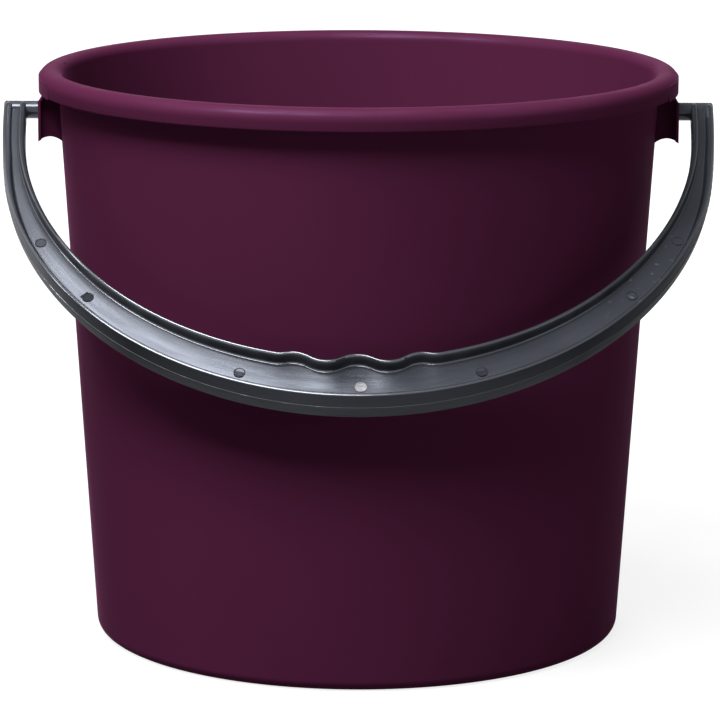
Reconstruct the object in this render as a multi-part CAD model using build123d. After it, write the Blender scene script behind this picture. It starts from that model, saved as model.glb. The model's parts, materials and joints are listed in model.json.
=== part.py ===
"""A ten-litre household bucket: a moulded tub and the bail that swings in its ears.

Millimetres, Z up. The origin is the middle of the foot, on the floor. The bail hangs towards -Y, with its
bow resting against the tub's wall.
"""
from build123d import *
import os
from math import asin, atan2, cos, degrees, hypot, radians, sin, sqrt, tan

# Tub: wall and floor
HEIGHT = 251.0          # floor to the top of the rim
RIM_R = 140.0           # widest radius of the rim
RIM_OVERHANG = 7.9      # how far the rim stands out from the wall
DRAW_IN = 15.8          # how much the wall's radius shrinks from rim to foot
WALL = 2.0
FOOT_BEVEL = 3.6        # outside bevel between wall and foot
FOOT_W = 15.3           # width of the foot ring, from the wall to the step
PANEL_RISE = 3.0        # the floor's middle panel stands above the foot ring
FLOOR_T = 2.4

# Tub: rolled rim
BEAD_R = 5.0            # outer rounding of the rim's top
LIP_BEVEL = 2.6         # bevel between the rim's top and the inside wall
SKIRT_H = 9.6           # top of the rim to the skirt's lower edge
SKIRT_SLOPE = 10.0      # degrees that the skirt draws in below the bead
PAD_SPAN = 36.0         # degrees of rim round each ear where the skirt stays upright
PAD_INSET = 0.03        # the upright skirt stands behind the rim's widest radius

# Tub: ears
EAR_INSET = 0.9         # the ear's plate stands behind the rim's widest radius
EAR_W = 44.0
EAR_T = 2.5             # plate and webs
EAR_DROP = 30.8         # top of the rim to the ear's lowest edge
ARCH_RISE = 2.2         # hollow of the ear's lower edge
SHOULDER_DROP = 13.3    # top of the rim to the sloping shoulder of the plate
GROOVE = 2.1            # depth of the groove between shoulder and rim
EAR_ROUND = 1.8

# Pivot
PIVOT_DROP = 19.55      # top of the rim to the pivot's axis
PIN_R = 4.1
PIN_CLEAR = 0.08        # radial running clearance of the pin in the ear
PIN_BEVEL = 0.8
HEAD_R = 4.9            # snap head behind the plate
HEAD_L = 3.0
HEAD_LEAD = 1.2         # chamfer that lets the head snap in
HEAD_GAP = 0.5

# Bail
ARM_GAP = 6.4           # room between an ear's plate and the arm
ARM_W = 10.1            # width of an arm at the pivot
GRIP_GAP = 17.4         # room for knuckles between rim and bow as the bow swings past
GRIP_W = 21.1           # width of the bow at its middle
OUTER_TUCK = 1.8        # the bow's radius is that much under the arms' half spread
INNER_TUCK = 0.4
WALL_GAP = 0.4          # between the hanging bow and the wall
FLANGE_T = 2.4
FLANGE_W_PIVOT = 7.8    # flange width across the bail's plane, at the pivot and at the grip
FLANGE_W_GRIP = 12.0
WEB_T_PIVOT = 5.8
WEB_T_GRIP = 2.0

# Finger grip on the bow's inner edge
FINGER_R = 11.7         # radius of every crest, hollow and blend
MID_CREST = 3.0         # the middle crest stands above the bow's plain inner line
SIDE_LIFT = 1.35        # the side crests stand above the middle one
HOLLOW_DEPTH = 3.6      # from the middle crest down to a finger hollow

# Worked out from the values above
BRIM_R = RIM_R - RIM_OVERHANG
FOOT_R = BRIM_R - DRAW_IN
PANEL_R = FOOT_R - FOOT_W - PANEL_RISE
ROOF_Z = HEIGHT - WALL
SKIRT_Z = HEIGHT - SKIRT_H
PIVOT_Z = HEIGHT - PIVOT_DROP
EAR_OUT = RIM_R - EAR_INSET
ARM_IN = EAR_OUT + ARM_GAP
ARM_OUT = ARM_IN + ARM_W
REACH_IN = hypot(RIM_R, PIVOT_DROP) + GRIP_GAP
REACH_OUT = REACH_IN + GRIP_W
BOW_R_IN = ARM_IN - INNER_TUCK
BOW_R_OUT = ARM_OUT - OUTER_TUCK


def wall_r(z):
    """Outside radius of the tapered wall at a height."""
    return FOOT_R + DRAW_IN * z / HEIGHT


def skirt_r(z):
    """Outside radius of the sloping skirt at a height; the slope is tangent to the bead."""
    slope = radians(SKIRT_SLOPE)
    below_bead = HEIGHT - BEAD_R - z
    return RIM_R - BEAD_R + (BEAD_R - below_bead * sin(slope)) / cos(slope)


def shell():
    """Wall, floor and rolled rim, turned about the bucket's axis."""
    miter = FLOOR_T * tan(radians(45.0 / 2))
    corner = FOOT_BEVEL - WALL / 2
    bead = BEAD_R - WALL
    lip_z = HEIGHT - LIP_BEVEL
    outside = FilletPolyline(
        (skirt_r(SKIRT_Z), SKIRT_Z), (skirt_r(HEIGHT), HEIGHT), (BRIM_R - WALL + LIP_BEVEL, HEIGHT),
        radius=BEAD_R)
    inside = Polyline(
        (BRIM_R - WALL + LIP_BEVEL, HEIGHT),
        (wall_r(lip_z) - WALL, lip_z),
        (wall_r(FLOOR_T + corner) - WALL, FLOOR_T + corner),
        (wall_r(FLOOR_T) - WALL - corner, FLOOR_T),
        (PANEL_R + PANEL_RISE + miter, FLOOR_T),
        (PANEL_R + miter, PANEL_RISE + FLOOR_T),
        (0, PANEL_RISE + FLOOR_T),
        (0, PANEL_RISE),
        (PANEL_R, PANEL_RISE),
        (PANEL_R + PANEL_RISE, 0),
        (FOOT_R - FOOT_BEVEL, 0),
        (wall_r(FOOT_BEVEL), FOOT_BEVEL),
        (wall_r(lip_z), lip_z),
        (wall_r(ROOF_Z) + LIP_BEVEL - WALL / 2, ROOF_Z),
        (skirt_r(ROOF_Z) - WALL - bead, ROOF_Z),
        (skirt_r(ROOF_Z - bead) - WALL, ROOF_Z - bead),
        (skirt_r(SKIRT_Z) - WALL, SKIRT_Z),
        (skirt_r(SKIRT_Z), SKIRT_Z))
    return revolve(Plane.XZ * make_face(outside + inside), Axis.Z)


def pad():
    """Upright stretch of skirt beside the +X ear, standing out of the sloping skirt."""
    inner = skirt_r(SKIRT_Z) - WALL / 2
    outer = RIM_R - PAD_INSET
    top = HEIGHT - BEAD_R
    outline = Polyline((inner, SKIRT_Z), (outer, SKIRT_Z), (outer, top), (inner, top), close=True)
    return Rot(0, 0, -PAD_SPAN / 2) * revolve(Plane.XZ * make_face(outline), Axis.Z, PAD_SPAN)


def ear_block():
    """Solid form of the +X ear: arched below, with a sloping shoulder and a groove under the rim."""
    tip = HEIGHT - EAR_DROP
    shoulder = HEIGHT - SHOULDER_DROP
    neck = EAR_OUT - GROOVE
    root = sqrt(wall_r(tip) ** 2 - (EAR_W / 2) ** 2)
    inside = root - RIM_OVERHANG
    arch = ThreePointArc((root, tip), ((root + EAR_OUT) / 2, tip + ARCH_RISE), (EAR_OUT, tip))
    rest = Polyline(
        (EAR_OUT, tip), (EAR_OUT, shoulder), (neck, shoulder + GROOVE), (neck, SKIRT_Z), (RIM_R, SKIRT_Z),
        (RIM_R, HEIGHT - WALL / 2), (inside, HEIGHT - WALL / 2), (inside, tip), (root, tip))
    block = extrude(Plane.XZ * make_face(arch + rest), EAR_W / 2, both=True)
    upright = block.edges().filter_by(Axis.Z)
    return fillet(upright.filter_by(lambda edge: abs(edge.center().X - EAR_OUT) < WALL / 2), EAR_ROUND)


def ear():
    """The +X ear: a plate on two webs, open below, bored for the pin."""
    inward = (Align.MAX, Align.CENTER, Align.MIN)
    upward = (Align.CENTER, Align.CENTER, Align.MIN)
    inside_w = EAR_W - 2 * EAR_T
    lug = ear_block()
    lug -= Pos(EAR_OUT - EAR_T) * Box(EAR_W, inside_w, HEIGHT - SHOULDER_DROP, align=inward)
    lug -= Pos(EAR_OUT - EAR_T - GROOVE) * Box(EAR_W, inside_w, HEIGHT, align=inward)
    below_skirt = Cylinder(2 * RIM_R, SKIRT_Z, align=upward)
    lug &= below_skirt + Cylinder(skirt_r(SKIRT_Z) - WALL / 2, HEIGHT, align=upward)
    lug -= Cone(FOOT_R - WALL / 2, BRIM_R - WALL / 2, HEIGHT, align=upward)
    bore = Cylinder(PIN_R + PIN_CLEAR, 2 * EAR_T, rotation=(0, 90, 0))
    return lug - Pos(EAR_OUT - EAR_T / 2, 0, PIVOT_Z) * bore


def tub():
    """Shell, upright pads and ears in one moulding."""
    side = pad() + ear()
    return shell() + side + mirror(side, Plane.YZ)


def hang_angle():
    """Degrees from straight down at which the bow's rear inner edge meets the tapered wall."""
    taper = DRAW_IN / HEIGHT
    crest = REACH_IN - MID_CREST
    half = FLANGE_W_GRIP / 2
    along = crest + taper * half
    across = taper * crest - half
    return degrees(asin((wall_r(PIVOT_Z) + WALL_GAP) / hypot(along, across)) - atan2(across, along))


def bow(spread, reach, radius, stop):
    """Right half of a bow line: an arm's long arc from the pivot, then the bow's arc to an angle."""
    drop = reach - radius
    arm_radius = (spread ** 2 + drop ** 2 - radius ** 2) / (2 * (spread - radius))
    turn = degrees(atan2(drop, arm_radius - spread))
    arm = CenterArc((spread - arm_radius, 0), arm_radius, 0, -turn)
    return arm + CenterArc((0, -drop), radius, -turn, turn - stop)


def crossing(centre_a, radius_a, centre_b, radius_b):
    """The right-hand crossing of two circles."""
    line = centre_b - centre_a
    along = (radius_a ** 2 - radius_b ** 2 + line.length ** 2) / (2 * line.length)
    aside = sqrt(radius_a ** 2 - along ** 2)
    unit = line.normalized()
    return centre_a + unit * along + Vector(abs(unit.Y), -unit.X * unit.Y / abs(unit.Y)) * aside


def finger_arcs():
    """Right half of the grip's inner edge, from the middle crest to the bow, as tangent arcs.

    Gives the arcs and the angle at which the bow's plain inner line takes over.
    """
    gap = 2 * FINGER_R
    crest = REACH_IN - MID_CREST
    to_hollow = sqrt(2 * gap * HOLLOW_DEPTH - HOLLOW_DEPTH ** 2)
    climb = HOLLOW_DEPTH + SIDE_LIFT
    to_side = sqrt(2 * gap * climb - climb ** 2)
    bow_centre = Vector(0, BOW_R_IN - REACH_IN)
    middle = Vector(0, -crest - FINGER_R)
    hollow = Vector(to_hollow, FINGER_R - crest - HOLLOW_DEPTH)
    side = Vector(to_hollow + to_side, SIDE_LIFT - crest - FINGER_R)
    blend = crossing(side, gap, bow_centre, BOW_R_IN - FINGER_R)
    leave = bow_centre + (blend - bow_centre).normalized() * BOW_R_IN
    joints = [Vector(0, -crest), (middle + hollow) / 2, (hollow + side) / 2, (side + blend) / 2, leave]
    arcs = []
    for index, (start, end) in enumerate(zip(joints, joints[1:])):
        arcs.append(RadiusArc(start, end, FINGER_R if index % 2 == 0 else -FINGER_R))
    reached = leave - bow_centre
    return Curve() + arcs, degrees(atan2(-reached.Y, reached.X))


def outline():
    """Outline of the bail in its own plane, with the arms carried past the pivot."""
    past = 2 * PIN_R
    fingers, stop = finger_arcs()
    half = fingers + bow(ARM_IN, REACH_IN, BOW_R_IN, stop) + bow(ARM_OUT, REACH_OUT, BOW_R_OUT, 90)
    half += Polyline((ARM_OUT, 0), (ARM_OUT, past), (ARM_IN, past), (ARM_IN, 0))
    return make_face(half + mirror(half, Plane.YZ))


def wedge(width_pivot, width_grip, top):
    """Slab across the bail's plane that grows evenly from the pivot to the bow."""
    grow = (width_grip - width_pivot) / 2 / REACH_OUT
    rise = width_pivot / 2 - grow * top
    run = width_pivot / 2 + grow * 2 * REACH_OUT
    side = Polyline((top, rise), (-2 * REACH_OUT, run), (-2 * REACH_OUT, -run), (top, -rise), close=True)
    return extrude(Plane.YZ * make_face(side), 2 * ARM_OUT, both=True)


def pin():
    """The +X pin with its snap head, along X, from the head to the arm's outer face."""
    head_out = EAR_OUT - EAR_T - HEAD_GAP
    head_in = head_out - HEAD_L
    profile = Polyline(
        (head_in, 0), (head_in, HEAD_R - HEAD_LEAD), (head_in + HEAD_LEAD, HEAD_R), (head_out, HEAD_R),
        (head_out, PIN_R), (ARM_OUT - PIN_BEVEL, PIN_R), (ARM_OUT, PIN_R - PIN_BEVEL), (ARM_OUT, 0),
        close=True)
    return revolve(make_face(profile), Axis.X)


def bail():
    """I-section bow with finger grip, arms and pins, hung against the tub's wall."""
    plan = outline()
    body = extrude(plan, FLANGE_W_GRIP, both=True) & wedge(FLANGE_W_PIVOT, FLANGE_W_GRIP, 0)
    hollow = extrude(offset(plan, -FLANGE_T), FLANGE_W_GRIP) - wedge(WEB_T_PIVOT, WEB_T_GRIP, 4 * PIN_R)
    body = body - hollow - mirror(hollow, Plane.XY) + pin() + mirror(pin(), Plane.YZ)
    tilt = radians(hang_angle())
    return Plane((0, 0, PIVOT_Z), x_dir=(1, 0, 0), z_dir=(0, -cos(tilt), sin(tilt))) * body


if __name__ == "__main__":
    os.makedirs("parts", exist_ok=True)
    print("bail hangs at", round(hang_angle(), 2), "degrees from straight down")
    for name, solid in (("tub", tub()), ("bail", bail())):
        export_step(solid, os.path.join("parts", name + ".step"))
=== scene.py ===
# %% [markdown]
# A ten-litre household bucket: a plum tub with a rolled rim, and a charcoal bail that swings in its ears.
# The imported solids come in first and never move. They say where everything is and how big it is.
# The lesson then models the two mouldings again as smooth meshes, with the roundings and marks of moulding.

# %% Load the fixed frame
import json
from math import asin, atan2, cos, degrees, hypot, pi, radians, sin, sqrt, tan

import bpy
from mathutils import Matrix, Vector


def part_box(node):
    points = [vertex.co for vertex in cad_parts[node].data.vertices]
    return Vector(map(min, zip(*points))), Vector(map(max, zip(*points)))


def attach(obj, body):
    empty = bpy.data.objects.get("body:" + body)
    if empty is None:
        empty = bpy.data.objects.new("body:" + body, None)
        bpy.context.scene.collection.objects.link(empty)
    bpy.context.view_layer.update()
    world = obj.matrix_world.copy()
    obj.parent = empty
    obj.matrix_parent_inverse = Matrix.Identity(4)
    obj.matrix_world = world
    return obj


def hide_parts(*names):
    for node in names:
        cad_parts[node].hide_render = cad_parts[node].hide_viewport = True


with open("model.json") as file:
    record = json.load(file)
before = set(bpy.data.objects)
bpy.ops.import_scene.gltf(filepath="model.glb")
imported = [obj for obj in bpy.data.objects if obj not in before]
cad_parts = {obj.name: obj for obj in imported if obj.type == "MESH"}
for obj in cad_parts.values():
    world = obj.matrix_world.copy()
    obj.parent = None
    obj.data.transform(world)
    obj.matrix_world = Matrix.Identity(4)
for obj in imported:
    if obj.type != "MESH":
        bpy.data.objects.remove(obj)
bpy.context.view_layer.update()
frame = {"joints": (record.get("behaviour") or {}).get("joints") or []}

# %% [markdown]
# The smooth pieces take the place of the solids, so they should fill the solids' box and never pass it.

# %% [markdown]
# Real sizes come next. What the frame knows is read from it: the rim, the height and the pivot.
# The other sizes are written once, in millimetres, so that each can be compared with a real bucket.

# %% Sizes of the tub
MM = 0.001
SNUG = 0.02 * MM                # keeps the smooth rim inside the facets of the solid
tub_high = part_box("tub")[1]
RIM_R = tub_high.x - SNUG
HEIGHT = tub_high.z
PIVOT_Z = frame["joints"][0]["pos_m"][2]
BRIM_R = RIM_R - 7.9 * MM       # outside of the wall, level with the rim's top
FOOT_R = BRIM_R - 15.8 * MM     # outside of the wall, level with the floor
WALL = 2.0 * MM
SKIRT_Z = HEIGHT - 9.6 * MM     # lower edge of the rolled rim


def wall_r(z):
    """Outside radius of the tapered wall at a height."""
    return FOOT_R + (BRIM_R - FOOT_R) * z / HEIGHT


def in_mm(sizes):
    """Sizes in millimetres, for printing."""
    return [round(size / MM, 1) for size in sizes]


print("rim, height and pivot:", in_mm([RIM_R, HEIGHT, PIVOT_Z]))

# %% [markdown]
# Nearly every piece here starts as an outline. A plane is added and merged to a single vertex, and that
# vertex is extruded from corner to corner, as by hand. A curve object could hold such an outline too, but a
# chain of edges can be spun or filled at once. The solids came in selected, and an operator acts on all that
# is selected, so nothing may be selected when a new piece begins.

# %% Helper: draw an outline
def deselect():
    """Leaves nothing selected, so that an operator acts on the new piece alone."""
    if bpy.context.mode != "OBJECT":
        bpy.ops.object.mode_set(mode="OBJECT")
    bpy.ops.object.select_all(action="DESELECT")


def draw_outline(name, points):
    """Draws a chain of edges through points of x and z, and stays in edit mode."""
    deselect()
    bpy.ops.mesh.primitive_plane_add(size=MM)
    piece = bpy.context.object
    piece.name = name
    bpy.ops.object.mode_set(mode="EDIT")
    bpy.ops.mesh.merge(type="CENTER")
    bpy.ops.transform.translate(value=(points[0][0], 0, points[0][1]))
    for (x, z), (next_x, next_z) in zip(points, points[1:]):
        bpy.ops.mesh.extrude_region_move(TRANSFORM_OT_translate={"value": (next_x - x, 0, next_z - z)})
    return piece


print("selected so far:", [piece.name for piece in bpy.context.selected_objects])

# %% [markdown]
# Moulded corners are round. In a chain of edges, a vertex bevel turns a corner into an arc. It asks how far
# from the corner the arc begins, so that distance is worked out from the radius and the corner's angle.
# A bevel modifier would round all corners alike, but here each one has its own radius.

# %% Helper: draw an outline with rounded corners
TOUCH = MM / 100                # points nearer than this are one point


def pick(piece, test):
    """Selects in edit mode the vertices whose place passes a test, and what lies between them."""
    bpy.ops.object.mode_set(mode="EDIT")
    bpy.ops.mesh.select_mode(type="VERT")
    bpy.ops.mesh.select_all(action="DESELECT")
    bpy.ops.object.mode_set(mode="OBJECT")
    for vertex in piece.data.vertices:
        vertex.select = test(vertex.co)
    bpy.ops.object.mode_set(mode="EDIT")


def draw_rounded(name, corners, segments=8):
    """Draws a chain through corners of x, z and radius, and rounds each corner that has a radius."""
    piece = draw_outline(name, [corner[:2] for corner in corners])
    for before, (x, z, radius), after in zip(corners, corners[1:], corners[2:]):
        if radius == 0:
            continue
        back = Vector((before[0] - x, before[1] - z))
        ahead = Vector((after[0] - x, after[1] - z))
        place = Vector((x, 0, z))
        pick(piece, lambda point: (point - place).length < TOUCH)
        bpy.ops.mesh.bevel(
            offset=radius / tan(back.angle(ahead) / 2), segments=segments, profile=0.5, affect="VERTICES")
    bpy.ops.object.mode_set(mode="OBJECT")
    return piece


print("points within", TOUCH / MM, "mm are one point")

# %% [markdown]
# The tub is one moulding of nearly even thickness: foot ring, raised floor panel, tapered wall and a rim that
# rolls over into a skirt. Its half section goes once round all of them, from the middle of the floor's
# underside to the middle of its top. Each corner is written with its radius, as on a mould maker's drawing.

# %% The tub's half section, as x, z and corner radius
FOOT_W = 15.3 * MM              # from the wall to the step of the floor panel
PANEL_RISE = 3.0 * MM
FLOOR_T = 2.4 * MM
STEP_R = 1.2 * MM
FOOT_CORNER = 5.0 * MM          # where the wall meets the floor, outside and inside
FLOOR_CORNER = 3.0 * MM
BEAD_R = 5.0 * MM               # the rim's outer shoulder and its inner lip
LIP_R = 4.4 * MM
SKIRT_SLOPE = radians(10)
SKIRT_EDGE_IN = 0.6 * MM
SKIRT_EDGE_OUT = 0.8 * MM
PANEL_R = FOOT_R - FOOT_W - PANEL_RISE
MITER = FLOOR_T * tan(pi / 8)   # keeps the floor's thickness along the sloping step
ROOF_Z = HEIGHT - WALL          # underside of the rim


def skirt_r(z):
    """Outside radius of the skirt, which draws in below the bead, at a height."""
    below_bead = HEIGHT - BEAD_R - z
    return RIM_R - BEAD_R + (BEAD_R - below_bead * sin(SKIRT_SLOPE)) / cos(SKIRT_SLOPE)


tub = draw_rounded("tub_moulding", [
    (0, PANEL_RISE, 0),
    (PANEL_R, PANEL_RISE, STEP_R),
    (PANEL_R + PANEL_RISE, 0, STEP_R),
    (FOOT_R, 0, FOOT_CORNER),
    (wall_r(ROOF_Z), ROOF_Z, LIP_R - WALL),
    (skirt_r(ROOF_Z) - WALL, ROOF_Z, BEAD_R - WALL),
    (skirt_r(SKIRT_Z) - WALL, SKIRT_Z, SKIRT_EDGE_IN),
    (skirt_r(SKIRT_Z), SKIRT_Z, SKIRT_EDGE_OUT),
    (skirt_r(HEIGHT), HEIGHT, BEAD_R),
    (BRIM_R - WALL, HEIGHT, LIP_R),
    (wall_r(FLOOR_T) - WALL, FLOOR_T, FLOOR_CORNER),
    (PANEL_R + PANEL_RISE + MITER, FLOOR_T, STEP_R),
    (PANEL_R + MITER, PANEL_RISE + FLOOR_T, STEP_R),
    (0, PANEL_RISE + FLOOR_T, 0),
])
print("half section:", len(tub.data.vertices), "points")

# %% [markdown]
# The half section is spun round the axis, as on a potter's wheel. A Screw modifier would do the same, but the
# spin tool leaves a real mesh at once. It gives clean rings of faces, which shade more evenly than the facets
# of the solid. Doubles are merged at the seam and at the two poles, so the shell is closed.

# %% Spin the tub
TUB_STEPS = 240                 # faces in each ring


def spin_round(piece, steps, axis=(0, 0, 1), angle=2 * pi):
    """Spins an outline round an axis through the origin and closes the seam and the poles."""
    bpy.ops.object.mode_set(mode="EDIT")
    bpy.ops.mesh.select_all(action="SELECT")
    bpy.ops.mesh.spin(steps=steps, angle=angle, center=(0, 0, 0), axis=axis)
    bpy.ops.mesh.select_all(action="SELECT")
    bpy.ops.mesh.remove_doubles(threshold=TOUCH)
    bpy.ops.mesh.normals_make_consistent(inside=False)
    bpy.ops.object.mode_set(mode="OBJECT")


spin_round(tub, TUB_STEPS)
print("tub shell:", len(tub.data.polygons), "faces")

# %% [markdown]
# Beside each ear the skirt stays upright, so the ear's plate has a square shelf to hang from.
# The shelf follows the rim, so a small rectangle is filled and spun through the pad's angle only.

# %% Upright pads of the skirt
PAD_SPAN = radians(36)
PAD_STEPS = 24
PAD_INSET = 0.03 * MM           # the pad stays just inside the bead
PAD_DROP = 3.0 * MM             # its top, against the bead, lies this far below the rim's top


def close_outline():
    """Fills the outline that is being edited."""
    bpy.ops.mesh.select_all(action="SELECT")
    bpy.ops.mesh.edge_face_add()


def select_only(*pieces):
    """Selects nothing but these pieces, and makes the first of them active."""
    deselect()
    for piece in pieces:
        piece.select_set(True)
    bpy.context.view_layer.objects.active = pieces[0]


def move(piece, matrix):
    """Moves or turns a piece and writes its new place into its mesh."""
    piece.matrix_world = matrix @ piece.matrix_world
    select_only(piece)
    bpy.ops.object.transform_apply(location=True, rotation=True, scale=True)


pad_in = skirt_r(SKIRT_Z) - WALL / 2
pad_out = RIM_R - PAD_INSET
pad_top = HEIGHT - PAD_DROP
pad = draw_outline("pad", [(pad_in, SKIRT_Z), (pad_out, SKIRT_Z), (pad_out, pad_top), (pad_in, pad_top)])
close_outline()
spin_round(pad, PAD_STEPS, angle=PAD_SPAN)
move(pad, Matrix.Rotation(PAD_SPAN / 2, 4, "Z"))
print("pad:", in_mm(pad.dimensions))

# %% [markdown]
# An ear is a plate held off the wall by two webs, open below and bored for the bail's pin. It could be
# modelled face by face, but it is easier to think of it as blocks: a solid ear, less a hollow, less a bore.
# Seen from the side, the ear hangs from the rim, steps out at a shoulder and ends in an arched lower edge.

# %% Side view of the ear
EAR_OUT = RIM_R - 0.9 * MM
EAR_W = 44.0 * MM
EAR_TIP = HEIGHT - 30.8 * MM
SHOULDER = HEIGHT - 13.3 * MM
GROOVE = 2.1 * MM               # above its shoulder the plate stands back, under the skirt
ARCH_RISE = 2.2 * MM
ARCH_STEPS = 12
ear_top = HEIGHT - WALL / 2
ear_root = sqrt(wall_r(EAR_TIP) ** 2 - (EAR_W / 2) ** 2)
arch = []
for step in range(ARCH_STEPS + 1):
    along = step / ARCH_STEPS
    arch.append((ear_root + (EAR_OUT - ear_root) * along, EAR_TIP + ARCH_RISE * 4 * along * (1 - along)))
outer_side = [(EAR_OUT, SHOULDER), (EAR_OUT - GROOVE, SHOULDER + GROOVE), (EAR_OUT - GROOVE, ear_top)]
print("arch of the ear: from", in_mm(arch[0]), "to", in_mm(arch[-1]))

# %% [markdown]
# A block is a side view that is filled and extruded. The ear's plate is wider than the webs behind it and
# thins out at its edges, so two blocks are made: one as wide as the webs, which reaches into the wall, and a
# thin one as wide as the plate.

# %% Blocks of the ear
PLATE_EDGE = 1.2 * MM           # the plate thins out beyond the webs, which stand back from its edges
WEB_STEP = 4.0 * MM
WEB_DROP = 0.8 * MM             # the webs reach a little lower than the plate
WEB_BURY = 8.0 * MM             # and into the wall, where they are trimmed later
WEB_W = EAR_W - 2 * WEB_STEP


def block(name, points, width):
    """A block with the given side view, centred on the plane of the outline."""
    piece = draw_outline(name, points)
    close_outline()
    bpy.ops.transform.translate(value=(0, -width / 2, 0))
    bpy.ops.mesh.extrude_region_move(TRANSFORM_OT_translate={"value": (0, width, 0)})
    bpy.ops.mesh.select_all(action="SELECT")
    bpy.ops.mesh.normals_make_consistent(inside=False)
    bpy.ops.object.mode_set(mode="OBJECT")
    return piece


ear_deep = ear_root - WEB_BURY
web_arch = [(x, z - WEB_DROP * (EAR_OUT - x) / (EAR_OUT - ear_root)) for x, z in arch]
web_side = [(ear_deep, EAR_TIP - WEB_DROP)] + web_arch + outer_side + [(ear_deep, ear_top)]
plate_in = EAR_OUT - PLATE_EDGE
plate_arch = [point for point in arch if point[0] > plate_in]
plate_side = plate_arch + outer_side + [
    (plate_in - GROOVE, ear_top), (plate_in - GROOVE, SHOULDER + GROOVE), (plate_in, SHOULDER),
    (plate_in, plate_arch[0][1])]
ear = block("ear", web_side, WEB_W)
plate = block("plate", plate_side, EAR_W)
print("blocks:", in_mm(ear.dimensions), in_mm(plate.dimensions))

# %% [markdown]
# Booleans put the blocks together. The mould leaves the ear hollow from below, which keeps its walls nearly
# as thin as the tub's, so a block with the same steps, one wall's thickness further in, is cut out of it.
# A boolean could stay live, but its tool would have to stay too, so each is applied and its tool removed.

# %% Unite the blocks and hollow the ear
EAR_T = 2.5 * MM


def apply(piece, modifier):
    """Applies a modifier that has been set up on a piece."""
    select_only(piece)
    bpy.ops.object.modifier_apply(modifier=modifier.name)


def combine(piece, tool, operation="DIFFERENCE"):
    """Cuts a tool out of a piece, or unites the two, and removes the tool."""
    modifier = piece.modifiers.new("combine", "BOOLEAN")
    modifier.operation = operation
    modifier.solver = "EXACT"
    modifier.object = tool
    apply(piece, modifier)
    bpy.data.objects.remove(tool)


combine(ear, plate, "UNION")
hollow_deep = ear_deep - EAR_T
hollow_out = EAR_OUT - EAR_T
hollow_side = [
    (hollow_deep, EAR_TIP - EAR_T), (hollow_out, EAR_TIP - EAR_T), (hollow_out, SHOULDER),
    (hollow_out - GROOVE, SHOULDER + GROOVE), (hollow_out - GROOVE, HEIGHT), (hollow_deep, HEIGHT)]
combine(ear, block("hollow", hollow_side, WEB_W - 2 * EAR_T))
print("hollow ear:", len(ear.data.polygons), "faces")

# %% [markdown]
# A cylinder bores the plate for the pin. The ear's root is then trimmed to the middle of the tub's wall by a
# cone, and its top to the underside of the skirt by a ring, so nothing shows inside the tub or past the rim.
# Both tools are spun in as many steps as the tub, so that their facets lie along the tub's own.

# %% Bore and trim the ear
PIN_R = 4.1 * MM
PIN_CLEAR = 0.12 * MM
PIN_STEPS = 64                  # sides of the bore and of the pin
deselect()
bpy.ops.mesh.primitive_cylinder_add(
    vertices=PIN_STEPS, radius=PIN_R + PIN_CLEAR, depth=3 * EAR_T,
    location=(EAR_OUT - EAR_T / 2, 0, PIVOT_Z), rotation=(0, pi / 2, 0))
combine(ear, bpy.context.object)
half_wall = WALL / 2
cone = draw_outline("cone", [(0, 0), (FOOT_R - half_wall, 0), (BRIM_R - half_wall, HEIGHT), (0, HEIGHT)])
spin_round(cone, TUB_STEPS)
combine(ear, cone)
well_outside = 1.2 * RIM_R
ring = draw_outline("ring", [
    (pad_in, SKIRT_Z), (well_outside, SKIRT_Z), (well_outside, HEIGHT), (pad_in, HEIGHT), (pad_in, SKIRT_Z)])
spin_round(ring, TUB_STEPS)
combine(ear, ring)
print("trimmed ear:", in_mm(ear.dimensions))

# %% [markdown]
# No edge of a moulding is sharp. Edges could be picked one by one and beveled in edit mode, but a bevel
# modifier finds them by their angle. It comes after the booleans, because they leave new edges.

# %% Round the ear's edges
EAR_EDGE = 0.5 * MM
SHARP = radians(40)             # edges that turn more than this are rounded
ear_bevel = ear.modifiers.new("moulded edges", "BEVEL")
ear_bevel.width = EAR_EDGE
ear_bevel.segments = 2
ear_bevel.limit_method = "ANGLE"
ear_bevel.angle_limit = SHARP
apply(ear, ear_bevel)
print("ear:", len(ear.data.polygons), "faces")

# %% [markdown]
# The bucket is the same on both sides, so the ear and the pad are modelled once and mirrored.
# All of it came out of one mould, so the parts are joined into one piece. Shading by angle keeps the walls
# smooth and the corners crisp.

# %% Mirror the ear and the pad, and join them to the tub
SMOOTH_BELOW = radians(30)      # faces that meet at less than this are shaded as one surface


def join(target, pieces):
    """Joins pieces into one."""
    select_only(target, *pieces)
    bpy.ops.object.join()


def other_side(piece):
    """Adds the mirror image of a piece across the bucket's middle plane."""
    modifier = piece.modifiers.new("other side", "MIRROR")
    modifier.use_axis = (True, False, False)
    modifier.use_mirror_merge = False
    apply(piece, modifier)


other_side(ear)
other_side(pad)
join(tub, [ear, pad])
bpy.ops.object.shade_smooth_by_angle(angle=SMOOTH_BELOW)
print("tub:", len(tub.data.polygons), "faces,", in_mm(tub.dimensions))

# %% [markdown]
# The bail is a bow of I section: a thin web between two flanges, with finger hollows on its inner edge.
# It is modelled flat in its own plane, where x is across and y runs up to the pivot, and hung at the end.
# The solid's box says how far the grip hangs below the pivot and in front of it, and so at what angle.

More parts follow.
